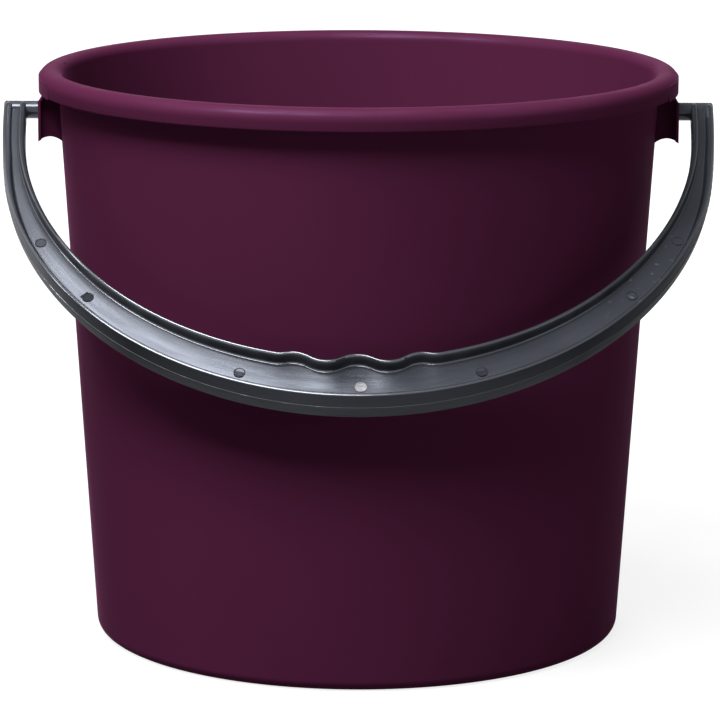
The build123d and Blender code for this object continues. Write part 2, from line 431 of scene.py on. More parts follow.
# %% Sizes of the bail
bail_low, bail_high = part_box("bail")
ARM_OUT = bail_high.x           # outer and inner edge of an arm, level with the pivot
ARM_IN = ARM_OUT - 10.1 * MM
REACH_IN = hypot(RIM_R, HEIGHT - PIVOT_Z) + 17.4 * MM     # the bow passes over the rim with room to spare
REACH_OUT = REACH_IN + 21.1 * MM
FLANGE_GRIP = 6.0 * MM          # half width of the flanges at the grip
below = PIVOT_Z - bail_low.z
front = -bail_low.y
HANG = asin((REACH_OUT * front - FLANGE_GRIP * below) / (REACH_OUT ** 2 - FLANGE_GRIP ** 2))
print("bail hangs", round(degrees(HANG), 2), "degrees from straight down")

# %% [markdown]
# The flanges widen and the web thins from the pivot to the grip. Near the pin the flanges swell, and their
# ends dip into it as rounded noses. A straight bar could be tapered by a lattice, but its sizes would then be
# hard to read, so the half widths are functions of y.

# %% Taper of the flanges and the web
FLANGE_PIVOT = 3.9 * MM         # half widths of flange and web at the pivot, and of the web at the grip
WEB_PIVOT = 2.9 * MM
WEB_GRIP = 1.0 * MM
WRAP = 0.8 * MM                 # the swelling near the pin, which fades to the even taper
WRAP_FADE = 25 * MM
NOSE = 2.0 * MM                 # length and depth of the noses
NOSE_DROP = 0.32 * MM


def share(value, start, end):
    """How far a value has come from start to end, held between nought and one."""
    return min(1, max(0, (value - start) / (end - start)))


def flange_half(y):
    """Half width of the flanges at a height."""
    taper = FLANGE_PIVOT - (FLANGE_GRIP - FLANGE_PIVOT) * y / REACH_OUT
    swell = WRAP * share(y, -WRAP_FADE, 0) ** 2
    dip = NOSE_DROP * max(0, 1 + y / NOSE) ** 2
    return taper + swell - dip


def web_half(y):
    """Half thickness of the web at a height; above the pivot it sinks into the pin."""
    if y > 0:
        return WEB_PIVOT * sqrt(1 - (y / FLANGE_PIVOT) ** 2)
    return WEB_PIVOT - (WEB_GRIP - WEB_PIVOT) * y / REACH_OUT


for name, y in (("pivot", 0), ("grip", -REACH_OUT)):
    print("half widths at the", name + ":", in_mm([flange_half(y), web_half(y)]))

# %% [markdown]
# Seen from the front, each edge of the bow is a chain of arcs that meet without a corner: a round one below,
# and a long one up each arm. A curve drawn by hand would have bumps where its points are.
# An arc is kept as the angle where it ends, its middle, its radius, and which side of its circle is the edge.

# %% Plain edges of the bow
BOW_R_IN = ARM_IN - 0.4 * MM
BOW_R_OUT = ARM_OUT - 1.8 * MM
FAR, NEAR = 1, -1               # sides of a circle, seen from the bow's middle
EYE = Vector((0, BOW_R_IN - REACH_IN))     # the bow's middle


def bearing(point):
    """Angle of a point round the bow's middle, from straight down."""
    return atan2(point.x, EYE.y - point.y)


def plain_arcs(spread, reach, radius):
    """The bow's arc and the arm's long arc, which meet without a corner."""
    drop = reach - radius
    arm_r = (spread ** 2 + drop ** 2 - radius ** 2) / (2 * (spread - radius))
    bend = atan2(drop, arm_r - spread)
    meet = Vector((radius * cos(bend), -drop - radius * sin(bend)))
    return [(bearing(meet), Vector((0, -drop)), radius, FAR), (pi, Vector((spread - arm_r, 0)), arm_r, FAR)]


OUTER = plain_arcs(ARM_OUT, REACH_OUT, BOW_R_OUT)
print("outer edge: arcs of radius", in_mm(arc[2] for arc in OUTER))

# %% [markdown]
# The grip has three crests and two hollows more on its inner edge, for the fingers. Each is an arc that goes
# on in the direction in which the one before it ends, so no ridge is felt. The last arc blends the side crest
# into the bow, and its middle lies where two circles cross.

# %% Finger hollows of the inner edge
FINGER_R = 11.7 * MM
MID_CREST = 3.0 * MM
SIDE_LIFT = 1.35 * MM
HOLLOW_DEPTH = 3.6 * MM


def crossing(centre_a, radius_a, centre_b, radius_b):
    """The right-hand crossing of two circles."""
    line = centre_b - centre_a
    along = (radius_a ** 2 - radius_b ** 2 + line.length ** 2) / (2 * line.length)
    aside = sqrt(radius_a ** 2 - along ** 2)
    unit = line.normalized()
    sideways = Vector((unit.y, -unit.x))
    return centre_a + unit * along + sideways * aside * (1 if sideways.x > 0 else -1)


def finger_arcs():
    """Crest, hollow, side crest and blend of the grip, each tangent to the next."""
    gap = 2 * FINGER_R
    crest = REACH_IN - MID_CREST
    climb = HOLLOW_DEPTH + SIDE_LIFT
    to_hollow = sqrt(2 * gap * HOLLOW_DEPTH - HOLLOW_DEPTH ** 2)
    to_side = sqrt(2 * gap * climb - climb ** 2)
    middle = Vector((0, -crest - FINGER_R))
    hollow = Vector((to_hollow, FINGER_R - crest - HOLLOW_DEPTH))
    side = Vector((to_hollow + to_side, SIDE_LIFT - crest - FINGER_R))
    blend = crossing(side, gap, EYE, BOW_R_IN - FINGER_R)
    return [
        (bearing((middle + hollow) / 2), middle, FINGER_R, NEAR),
        (bearing((hollow + side) / 2), hollow, FINGER_R, FAR),
        (bearing((side + blend) / 2), side, FINGER_R, NEAR),
        (bearing(blend), blend, FINGER_R, FAR)]


INNER = finger_arcs() + plain_arcs(ARM_IN, REACH_IN, BOW_R_IN)
print("inner edge:", len(INNER), "arcs on each side")

# %% [markdown]
# A ray from the bow's middle meets each edge once, and one formula, of a line and a circle, finds that place.
# So every size round the bow can be asked for by an angle, which is what the next steps do.

# %% Where a ray meets an edge
def edge_reach(angle, arcs):
    """How far from the bow's middle an edge lies, at an angle from straight down."""
    way = Vector((sin(abs(angle)), -cos(angle)))
    centre, radius, side = next(arc[1:] for arc in arcs if abs(angle) <= arc[0])
    line = centre - EYE
    along = line.dot(way)
    return along + side * sqrt(radius ** 2 - line.length_squared + along ** 2)


print("grip:", in_mm(edge_reach(radians(angle), INNER) for angle in (0, 5, 10, 15, 20, 90)))

# %% [markdown]
# Where the two halves of a mould meet, a little plastic creeps out and leaves a fine ridge, the flash, along
# both edges of the bow. A bump in the material could fake it, but not where it stands out against the
# background, so it is a row of vertices. It is a little ragged, by two waves, and fades out up the arms.

# %% Flash along the parting line
FLASH_W = 0.13 * MM
FLASH_H = 0.26 * MM
FLASH_FADE = 25 * MM
FLASH_RAGGED = 0.3              # share of the height that comes and goes, in two waves
FLASH_WAVES = (900, 2100)       # radians in a metre


def flash(y):
    """Height of the flash, which fades out up the arms and is a little ragged."""
    long_wave, short_wave = (sin(y * wave) for wave in FLASH_WAVES)
    ragged = 1 - FLASH_RAGGED + FLASH_RAGGED * long_wave * short_wave
    return FLASH_H * ragged * share(-y, FLASH_FADE, 2 * FLASH_FADE)


print("flash at the grip:", round(flash(-REACH_OUT) / MM, 2), "mm")

# %% [markdown]
# Half the thickness is enough, since the other half is its mirror image. A flange's section is one line of
# points: from the parting line up its side, round its tip, down again and into the fillet at its root.
# Up the arms the flanges are thicker and their tips rounder, so those sizes are blended by height.

# %% Section of a flange
FLANGE_T = 2.4 * MM             # thickness of the flanges at the grip, and up the arms
ARM_IN_T = 2.8 * MM
ARM_OUT_T = 3.6 * MM
ARM_FROM = -85 * MM             # the arms begin here, and are at their full thickness from here up
ARM_FULL = -35 * MM
INNER_TIP = (0.72 * MM, 0.72 * MM)     # width and height of each tip's rounding, on the edge's side
OUTER_TIP = (1.0 * MM, 0.5 * MM)
INNER_SLOPE = (1.28 * MM, 2.6 * MM)    # and on the web's side, where the inner flange rounds off slowly
OUTER_SLOPE = (0.72 * MM, 0.72 * MM)
ARM_TIP_W = 0.48                # width of a tip's rounding up the arms, as a share of the thickness there
ARM_TIP_H = 1.12 * MM
TIP_FLAT = 0.06 * MM
TIP_LIMIT = 0.6                 # a tip's rounding takes at most this share of the flange's rise over the web
ROOT_R = 0.9 * MM
ROOT_LIMIT = 0.38               # and the fillet at its root at most this one
DRAFT = 0.25 * MM               # the sides lean in from the parting line, so that the moulding lets go
CORNER_STEPS = 5
CORNER = [radians(90 * step / CORNER_STEPS) for step in range(CORNER_STEPS + 1)]


def flange_line(y, arm_t, web, tip, slope):
    """Section of a flange from its edge to its root, as depth from the edge and height."""
    on_arm = share(y, ARM_FROM, ARM_FULL)
    thick = FLANGE_T + (arm_t - FLANGE_T) * on_arm
    crest = flange_half(y)
    arm_tip = Vector((ARM_TIP_W * thick, ARM_TIP_H))
    tip_w, tip_h = Vector(tip).lerp(arm_tip, on_arm)
    slope_w, slope_h = Vector(slope).lerp(arm_tip, on_arm)
    tip_h = min(tip_h, TIP_LIMIT * (crest - web))
    slope_h = min(slope_h, TIP_LIMIT * (crest - web))
    root = min(ROOT_R, ROOT_LIMIT * (crest - web))
    ridge = DRAFT + tip_w + TIP_FLAT
    rounding = [(DRAFT + tip_w * (1 - cos(turn)), crest - tip_h * (1 - sin(turn))) for turn in CORNER]
    other = [(ridge + slope_w * cos(turn), crest - slope_h * (1 - sin(turn))) for turn in reversed(CORNER)]
    fillet = [(thick + root * (1 - cos(turn)), web + root * (1 - sin(turn))) for turn in CORNER]
    return [(-flash(y), 0), (0, FLASH_W)] + rounding + other + fillet


grip_flange = flange_line(-REACH_OUT, ARM_OUT_T, WEB_GRIP, OUTER_TIP, OUTER_SLOPE)
print("outer flange:", len(grip_flange), "points,", in_mm(grip_flange[-1]), "at its root")

# %% [markdown]
# The whole section sets the inner flange's line, a few points over the web and the outer flange's line in a
# row. It is worked out at any angle round the bow, so hollows, taper and lean all follow the real edges.

# %% Section of the bow
ARM_TOP = 2.0 * MM              # the arms end above the pivot's axis
END_ROUND = 1.6 * MM            # and their outer corners draw in there
WEB_LEAN = 0.6 * MM             # the web's outer root is lower than its inner root
WEB_POINTS = 4
FLANGES = (
    (INNER, ARM_IN_T, WEB_LEAN, INNER_TIP, INNER_SLOPE),
    (OUTER, ARM_OUT_T, -WEB_LEAN, OUTER_TIP, OUTER_SLOPE))


def bow_section(angle):
    """Distances from the bow's middle, and heights, of the section's points at an angle."""
    sides = []
    for arcs, arm_t, lean, tip, slope in FLANGES:
        edge = edge_reach(angle, arcs)
        y = min(EYE.y - cos(angle) * edge, ARM_TOP)
        if arcs is OUTER:
            edge -= END_ROUND * max(0, (y + ARM_TOP) / (2 * ARM_TOP)) ** 2
        web = web_half(y) + lean * max(0, -y / REACH_OUT) ** 2
        sides.append((edge, flange_line(y, arm_t, web, tip, slope)))
    (inner, near), (outer, far) = sides
    line = [Vector((inner + depth, height)) for depth, height in near]
    ending = [Vector((outer - depth, height)) for depth, height in reversed(far)]
    steps = [step / (WEB_POINTS + 1) for step in range(1, WEB_POINTS + 1)]
    return line + [line[-1].lerp(ending[0], step) for step in steps] + ending


print("section:", len(bow_section(0)), "points")

# %% [markdown]
# A grid is the quickest way to a long strip of even faces. One direction becomes the way round the bow, from
# arm to arm, and the other the line of the section. Each vertex is then moved to its place.
# A sweep along a curve would keep one section all the way, and this section changes.

# %% Bend a grid along the bow
PAST = radians(98)              # the strip passes the pivots on both sides, and is cut there later
STATIONS = 392
ROWS = len(bow_section(0)) - 1


def station_angle(station):
    """Angle of a station of the grid round the bow's middle, from straight down."""
    return PAST * (2 * station / STATIONS - 1)


sections = [bow_section(station_angle(station)) for station in range(STATIONS + 1)]


def bend_point(point):
    """Moves a point of the flat grid to its place on the bow."""
    station = round((point.x + 0.5) * STATIONS)
    angle = station_angle(station)
    distance, height = sections[station][round((point.y + 0.5) * ROWS)]
    return Vector((sin(angle) * distance, EYE.y - cos(angle) * distance, height))


deselect()
bpy.ops.mesh.primitive_grid_add(x_subdivisions=STATIONS, y_subdivisions=ROWS, size=1)
bail = bpy.context.object
bail.name = "bail_moulding"
for vertex in bail.data.vertices:
    vertex.co = bend_point(vertex.co)
print("half bail:", len(bail.data.polygons), "faces")

# %% [markdown]
# A mirror adds the back half and merges it with the front along the flash, and a bisect cuts the arms off
# level above the pivot. The grid could have ended there, but its ends would slant, because each of its
# stations lies on a ray from the bow's middle.

# %% Mirror the half, and cut the arms at the pivot
both_faces = bail.modifiers.new("both faces", "MIRROR")
both_faces.use_axis = (False, False, True)
both_faces.merge_threshold = TOUCH
apply(bail, both_faces)
bpy.ops.object.mode_set(mode="EDIT")
bpy.ops.mesh.select_all(action="SELECT")
bpy.ops.mesh.bisect(plane_co=(0, ARM_TOP, 0), plane_no=(0, 1, 0), clear_outer=True, use_fill=True)
bpy.ops.mesh.select_all(action="SELECT")
bpy.ops.mesh.normals_make_consistent(inside=False)
bpy.ops.object.mode_set(mode="OBJECT")
print("closed bow:", len(bail.data.polygons), "faces")

# %% [markdown]
# The two halves of the real mould aren't quite alike: the inner flange stands further forward, the outer one
# further back, and the parting line lies a little behind the middle. Two unlike halves could be bent and
# joined, but these are only small moves of vertices, so they are made once the shell is closed.

# %% Make the front and the back unlike
DEEP_FRONT = 1.4 * MM           # what the inner flange gains in front, and the outer one behind, at the grip
DEEP_BACK = 1.1 * MM
MIDWAY = 0.5                    # between the bow's inner and outer edge
FLASH_BACK = 0.9 * MM           # from the bow's middle plane back to the parting line
FLASH_ZONE = 1.5 * FLASH_W      # vertices this near the middle plane belong to the flash


def across(point):
    """Place across the bow: nought at the inner edge, one at the outer edge."""
    inner, outer = (edge_reach(bearing(point), arcs) for arcs in (INNER, OUTER))
    return ((point.xy - EYE).length - inner) / (outer - inner)


def deepen(point):
    """Draws out the front of the inner flange and the back of the outer one, most at the grip."""
    rise = share(abs(point.z), web_half(point.y), flange_half(point.y)) * max(0, -point.y / REACH_OUT)
    if point.z > 0 and across(point) < MIDWAY:
        point.z += DEEP_FRONT * rise
    elif point.z < 0 and across(point) > MIDWAY:
        point.z -= DEEP_BACK * rise


for vertex in bail.data.vertices:
    deepen(vertex.co)
pick(bail, lambda point: abs(point.z) < FLASH_ZONE)
bpy.ops.transform.translate(value=(0, 0, -FLASH_BACK))
bpy.ops.object.mode_set(mode="OBJECT")
print("bow:", len(bail.data.polygons), "faces,", in_mm(bail.dimensions))

# %% [markdown]
# Each arm ends in a pin that runs through the ear's bore and has a snap head behind the plate.
# Its half section is drawn along the pin and spun round the pivot's axis, as it would be turned on a lathe.

# %% Pins with snap heads
HEAD_R = 4.9 * MM
HEAD_L = 3.0 * MM
HEAD_GAP = 0.5 * MM
HEAD_ROUND = 1.2 * MM           # the nose that snaps through the bore
NECK_ROUND = 0.3 * MM
PIN_ROUND = 1.6 * MM            # the pin's outer end
PIN_END = 0.02 * MM             # keeps it inside the box of the solid
head_out = EAR_OUT - EAR_T - HEAD_GAP
head_in = head_out - HEAD_L
pin_out = ARM_OUT - PIN_END
pin = draw_rounded("pin", [
    (head_in, 0, 0),
    (head_in, HEAD_R, HEAD_ROUND),
    (head_out, HEAD_R, NECK_ROUND),
    (head_out, PIN_R, NECK_ROUND),
    (pin_out, PIN_R, PIN_ROUND),
    (pin_out, 0, 0),
], segments=5)
spin_round(pin, PIN_STEPS, axis=(1, 0, 0))
other_side(pin)
print("pins:", in_mm(pin.dimensions))

# %% [markdown]
# Seven ejector pins push the bail out of its mould, and each leaves a small round mark on the web. A mark is
# placed by its bearing round the bow, about midway between the edges. The web slopes there, so its height and
# slope under the mark are read from the bow's section at that angle.

# %% Places of the ejector marks
MARK_SHIFT = 0.5                # the row of marks sits half a degree to one side
MARK_OUT = 0.7 * MM             # and a little nearer the outer flange


def mark_place(degrees_round):
    """Bearing, distance from the bow's middle, height and slope of the web under a mark."""
    angle = radians(degrees_round + MARK_SHIFT)
    distance = (BOW_R_IN + edge_reach(angle, OUTER)) / 2 + MARK_OUT
    line = bow_section(angle)
    after = next(index for index, point in enumerate(line) if point.x > distance)
    low, high = line[after - 1], line[after]
    slope = (high.y - low.y) / (high.x - low.x)
    return angle, distance, low.y + slope * (distance - low.x), slope


print("middle mark: distance and height", in_mm(mark_place(0)[1:3]))

# %% [markdown]
# A mark could be a bump in the material, but a real ring of faces also shows on a close view.
# It is a disc with a raised rim, added in place, extruded and inset twice, so it catches the light as a ring.
# All but the middle one lean a little out of true, which changes what each of them reflects.

# %% Ejector marks
MARK_R = 2.5 * MM
MARK_H = 0.25 * MM              # above the web, and as deep again into it
MARK_RIM = 0.35 * MM
MARK_STEP = 0.15 * MM           # width of the step from the rim down to the disc
MARK_SINK = 0.8 * MARK_H
MARK_SIDES = 32
# how far each mark leans out of true, by its bearing in degrees
MARK_LEAN = {0: 0, 18.6: 0.08, -18.6: 0.08, 47.5: 0.02, -47.5: 0.02, 62: 0.02, -62: 0.02}


def ejector_mark(degrees_round, lean):
    """A disc with a sunken middle on the web's front face, leaning out of true."""
    angle, distance, height, slope = mark_place(degrees_round)
    deselect()
    bpy.ops.mesh.primitive_circle_add(
        vertices=MARK_SIDES, radius=MARK_R, fill_type="NGON",
        location=(sin(angle) * distance, EYE.y - cos(angle) * distance, height - MARK_H))
    bpy.ops.object.mode_set(mode="EDIT")
    bpy.ops.mesh.extrude_region_move(TRANSFORM_OT_translate={"value": (0, 0, 2 * MARK_H)})
    bpy.ops.mesh.inset(thickness=MARK_RIM)
    bpy.ops.mesh.inset(thickness=MARK_STEP, depth=-MARK_SINK)
    bpy.ops.object.mode_set(mode="OBJECT")
    bpy.ops.object.transform_apply(location=True, rotation=True, scale=True)
    mark = bpy.context.object
    for vertex in mark.data.vertices:
        vertex.co.z += (slope + lean) * ((vertex.co.xy - EYE).length - distance)
    return mark


marks = [ejector_mark(degrees_round, lean) for degrees_round, lean in MARK_LEAN.items()]
print("ejector marks:", len(marks))

# %% [markdown]
# Bow, pins and marks came out of one mould, so they become one piece. The flat bail is then turned to the
# angle at which it hangs in the photo and lifted to the pivot. The move is applied, so the object itself sits
# at the origin, as every piece must that takes its pattern from object coordinates.

# %% Join the bail and hang it from the pivot
join(bail, [pin] + marks)
move(bail, Matrix.Translation((0, 0, PIVOT_Z)) @ Matrix.Rotation(pi / 2 - HANG, 4, "X"))
bpy.ops.object.shade_smooth_by_angle(angle=SMOOTH_BELOW)
print("bail:", len(bail.data.polygons), "faces,", in_mm(bail.dimensions))

# %% [markdown]
# The pieces now take the place of the solids, which are hidden and stay behind for collisions.
# Each piece rides on the body that moves it, so the bail swings about its pivot and the tub stands still.

# %% Tie the pieces to the frame
for piece, body, node, slot in ((tub, "tub", "tub", "tub_plastic"), (bail, "bail", "bail", "bail_plastic")):
    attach(piece, body)
    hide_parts(node)
print("pieces:", tub.name, bail.name)

# %% [markdown]
# Every finish is a node material on object coordinates, so its pattern stays on the plastic when a piece
# moves. Its detail comes from noise. An image could be painted instead, but it would blur on a close view and
# need a map of the surface. The same few nodes come back all the time, so each gets a short function.

# %% Helpers: a material and its noise
def start_material(name):
    """A new node material, and its shader."""
    material = bpy.data.materials.new(name)
    material.use_nodes = True
    return material, material.node_tree.nodes["Principled BSDF"]


def feed(value, socket):
    """Links a value to a socket of the same node tree."""
    socket.id_data.links.new(value, socket)


def noise(material, scale, detail=3.0, stretch=(1, 1, 1)):
    """Noise on object coordinates, stretched along an axis where a number is small."""
    nodes = material.node_tree.nodes
    place = nodes.new("ShaderNodeTexCoord")
    mapping = nodes.new("ShaderNodeMapping")
    mapping.inputs["Scale"].default_value = stretch
    texture = nodes.new("ShaderNodeTexNoise")
    texture.inputs["Scale"].default_value = scale
    texture.inputs["Detail"].default_value = detail
    feed(place.outputs["Object"], mapping.inputs["Vector"])
    feed(mapping.outputs["Vector"], texture.inputs["Vector"])
    return texture.outputs["Fac"]


print("materials of the solids:", [material.name for material in bpy.data.materials])

# %% [markdown]
# A noise is a number at each place, mostly not far from a half. A ramp turns it into colours, and a range
# spreads it over what a socket wants, such as a roughness. A bump reads it as a height and changes how light
# falls on the surface, which is enough for a grain that no outline shows.

# %% Helpers: what a noise becomes
NOISE_SPAN = (0.3, 0.7)         # nearly all of a noise lies between these


def ramp(material, value, stops):
    """A colour ramp over a value, from a list of position and colour."""
    node = material.node_tree.nodes.new("ShaderNodeValToRGB")
    elements = node.color_ramp.elements
    while len(elements) < len(stops):
        elements.new(0.5)
    for element, (position, color) in zip(elements, stops):
        element.position = position
        element.color = (*color, 1)
    feed(value, node.inputs["Fac"])
    return node.outputs["Color"]


def mottle(material, scale, dark, light, detail=4, stops=NOISE_SPAN):
    """Cloudy colour between a dark and a light shade."""
    return ramp(material, noise(material, scale, detail), list(zip(stops, (dark, light))))


def to_range(material, value, low, high, start=NOISE_SPAN[0], end=NOISE_SPAN[1]):
    """Spreads a value over a range; it usually starts and ends where a noise does."""
    node = material.node_tree.nodes.new("ShaderNodeMapRange")
    node.inputs["From Min"].default_value = start
    node.inputs["From Max"].default_value = end
    node.inputs["To Min"].default_value = low
    node.inputs["To Max"].default_value = high
    feed(value, node.inputs["Value"])
    return node.outputs["Result"]


def bump(material, value, distance, strength, under=None):
    """A bump from a value, laid over another bump."""
    node = material.node_tree.nodes.new("ShaderNodeBump")
    node.inputs["Distance"].default_value = distance
    node.inputs["Strength"].default_value = strength
    feed(value, node.inputs["Height"])
    if under:
        feed(under, node.inputs["Normal"])
    return node.outputs["Normal"]


print("a noise is spread from", *NOISE_SPAN)

# %% [markdown]
# The tub is dyed polypropylene with a satin face: deep plum, and a grain too fine to count.
# Broad noise shifts the dye a little, stretched noise lays faint scuffs down the wall, and fine noise over a
# slow ripple is the bump. The matt face hardly mirrors anything. What lights up its edges is a sheen in
# the plastic's own colour, because a plain gloss would lay the white of the studio over them.

# %% Plum plastic of the tub
PLUM_DARK = (0.067, 0.0122, 0.0378)
PLUM_LIGHT = (0.074, 0.014, 0.042)
PLUM_SHEEN = (1.0, 0.28, 0.68, 1)
plum, plum_shader = start_material("plum_plastic")
feed(mottle(plum, scale=9, dark=PLUM_DARK, light=PLUM_LIGHT), plum_shader.inputs["Base Color"])
plum_shader.inputs["Sheen Weight"].default_value = 0.09
plum_shader.inputs["Sheen Roughness"].default_value = 0.2
plum_shader.inputs["Sheen Tint"].default_value = PLUM_SHEEN
scuffs = to_range(plum, noise(plum, scale=60, detail=4, stretch=(1, 1, 0.06)), low=0.54, high=0.66)
grain = noise(plum, scale=1500, detail=2)
ripple = bump(plum, noise(plum, scale=160, detail=2), distance=0.05 * MM, strength=0.2)
feed(bump(plum, grain, distance=0.03 * MM, strength=0.35, under=ripple), plum_shader.inputs["Normal"])
tub.data.materials.clear()
tub.data.materials.append(plum)
print("material:", plum.name)

# %% [markdown]
# Some finishes change along a piece. A fade is a range over the place along an axis, and levels are a ramp of
# greys over such a fade, for a change that comes and goes. Where several hold at once they are multiplied.
# A mask could be painted on the vertices, but then it would be only as fine as the mesh.

# %% Helpers: fades along a piece
def levels(material, value, stops):
    """A ramp of greys over a value, from a list of position and level."""
    return ramp(material, value, [(position, (level, level, level)) for position, level in stops])


def fade(material, axis, low, high, start, end):
    """A value that goes from low to high between two places along an axis of the piece."""
    nodes = material.node_tree.nodes
    place = nodes.new("ShaderNodeTexCoord")
    split = nodes.new("ShaderNodeSeparateXYZ")
    feed(place.outputs["Object"], split.inputs["Vector"])
    return to_range(material, split.outputs[axis], low, high, start, end)


def multiply(material, first, *others):
    """The product of values."""
    product = first
    for other in others:
        node = material.node_tree.nodes.new("ShaderNodeMath")
        node.operation = "MULTIPLY"
        feed(product, node.inputs[0])
        feed(other, node.inputs[1])
        product = node.outputs["Value"]
    return product


print("fades run over the tub's", in_mm(tub.dimensions))

# %% [markdown]
# Hands and cloths have rubbed a faint violet gloss on the rounded shoulder of the rim, in front and behind.
# It could be a material of its own, but its border would show. Here the roughness falls and the gloss rises
# inside a band of heights, which fades out towards the ears, and a noise breaks it up.

# %% Rubbed shoulder of the rim
MATT_GLOSS = 0.002              # of the plum plastic that nobody rubs
RIM_GLOSS = (0.05, 0.14)
RIM_SMOOTH = 0.55               # share of the roughness that is left
RIM_CAST = (0.7, 0.5, 1.0, 1)
RIM_SPREAD = [(0.12, 0), (0.3, 1), (0.7, 1), (0.88, 0)]     # across the bucket, from ear to ear
BAND_LOW = (HEIGHT - BEAD_R, HEIGHT - 0.7 * BEAD_R)         # where the band fades in and out
BAND_HIGH = (HEIGHT - 0.3 * BEAD_R, HEIGHT - 0.08 * BEAD_R)
rubbed_rim = multiply(
    plum, fade(plum, "Z", 0, 1, *BAND_LOW), fade(plum, "Z", 1, 0, *BAND_HIGH),
    levels(plum, fade(plum, "X", 0, 1, -RIM_R, RIM_R), RIM_SPREAD))
smoother = to_range(plum, rubbed_rim, 1, RIM_SMOOTH, start=0, end=1)
feed(multiply(plum, scuffs, smoother), plum_shader.inputs["Roughness"])
rubs = to_range(plum, noise(plum, scale=40, detail=4, stretch=(1, 1, 9)), *RIM_GLOSS)
rim_gloss = to_range(plum, multiply(plum, rubs, rubbed_rim), MATT_GLOSS, 1, start=0, end=1)
feed(rim_gloss, plum_shader.inputs["Specular IOR Level"])
plum_shader.inputs["Specular Tint"].default_value = RIM_CAST
print("material:", plum.name, len(plum.node_tree.nodes), "nodes")

# %% [markdown]
# The bail's finishes also change across the bow, from its inner edge to its outer one, and no axis runs that
# way. So each vertex keeps its place across the bow as an attribute, which a material can read.
# The bail hangs by now, so a point is first turned back into the bail's own plane.

# %% Places across the bow
unhang = Matrix.Rotation(HANG - pi / 2, 3, "X")


def in_plane(point):
    """A point of the hung bail, in the bail's own plane."""
    return unhang @ (point - Vector((0, 0, PIVOT_Z)))


places = bail.data.attributes.new("across", "FLOAT", "POINT")
for vertex, place in zip(bail.data.vertices, places.data):
    place.value = across(in_plane(vertex.co))
print("places across the bow:", len(places.data))

# %% [markdown]
# Molten plastic ran along the bow as the mould filled, and left soft streaks. Noise stretched along an axis
# would cross the bow where it bends. Here the distance from the bow's middle is one coordinate of the noise,
# and the way along the bow is drawn out, so the streaks follow the curve.

# %% Helper: streaks along the bow
def bow_streaks(material, scale, along):
    """Noise drawn out along the bow."""
    nodes = material.node_tree.nodes
    place = nodes.new("ShaderNodeTexCoord")
    hang = nodes.new("ShaderNodeMapping")
    hang.vector_type = "TEXTURE"
    hang.inputs["Location"].default_value = (0, EYE.y * sin(HANG), PIVOT_Z + EYE.y * cos(HANG))
    hang.inputs["Rotation"].default_value = (pi / 2 - HANG, 0, 0)
    flat = nodes.new("ShaderNodeVectorMath")
    flat.operation = "MULTIPLY"
    flat.inputs[1].default_value = (1, 1, 0)
    distance = nodes.new("ShaderNodeVectorMath")
    distance.operation = "LENGTH"
    split = nodes.new("ShaderNodeSeparateXYZ")
    drawn = nodes.new("ShaderNodeMath")
    drawn.operation = "MULTIPLY"
    drawn.inputs[1].default_value = along
    joined = nodes.new("ShaderNodeCombineXYZ")
    texture = nodes.new("ShaderNodeTexNoise")
    texture.inputs["Scale"].default_value = scale
    texture.inputs["Detail"].default_value = 4
    feed(place.outputs["Object"], hang.inputs["Vector"])
    feed(hang.outputs["Vector"], flat.inputs[0])
    feed(flat.outputs["Vector"], distance.inputs[0])
    feed(hang.outputs["Vector"], split.inputs["Vector"])
    feed(split.outputs["X"], drawn.inputs[0])
    feed(distance.outputs["Value"], joined.inputs["X"])
    feed(drawn.outputs["Value"], joined.inputs["Y"])
    feed(split.outputs["Z"], joined.inputs["Z"])
    feed(joined.outputs["Vector"], texture.inputs["Vector"])
    return texture.outputs["Fac"]


print("streaks run along arcs of", in_mm([BOW_R_IN, BOW_R_OUT]))

# %% [markdown]
# The bail is stiffer and glossier than the tub: charcoal with a blue cast. One arm has been knocked below its
# upper ejector mark, which left a few pale spots. They could be faces of another finish, but they have no
# clear edge, so they are a noise of which only the highest peaks are mixed into the colour.

# %% Charcoal plastic of the bail
CHARCOAL_DARK = (0.019, 0.0205, 0.026)
CHARCOAL_LIGHT = (0.026, 0.028, 0.035)
ABOVE_MARK = (PIVOT_Z - 55 * MM, PIVOT_Z - 41 * MM)     # up the arms, where the finish changes
WORN_ZONE = (98 * MM, 110 * MM)                         # across the bucket, where the pale spots begin
SPOT_PEAKS = (0.62, 0.7)        # only the peaks of a noise become spots
WORN_GREY = (0.1, 0.105, 0.115, 1)
charcoal, charcoal_shader = start_material("charcoal_plastic")
peaks = to_range(charcoal, noise(charcoal, scale=520, detail=4, stretch=(0.6, 1, 1)), 0, 0.8, *SPOT_PEAKS)
spots = multiply(
    charcoal, peaks, fade(charcoal, "Z", 1, 0, *ABOVE_MARK), fade(charcoal, "X", 0, 1, *WORN_ZONE))
worn = charcoal.node_tree.nodes.new("ShaderNodeMix")
worn.data_type = "RGBA"
worn.inputs["B"].default_value = WORN_GREY
feed(spots, worn.inputs["Factor"])
feed(mottle(charcoal, scale=30, dark=CHARCOAL_DARK, light=CHARCOAL_LIGHT), worn.inputs["A"])
feed(worn.outputs["Result"], charcoal_shader.inputs["Base Color"])
bail.data.materials.clear()
bail.data.materials.append(charcoal)
print("material:", charcoal.name)

# %% [markdown]
# The web of the bow is the bail's broad, glossy face. Its gloss isn't the same everywhere: it weakens up one
# arm, above the upper ejector marks and near the inner flange, so three fades are multiplied.
# The streaks set how rough it is and, with a fine grit over them, its bump.

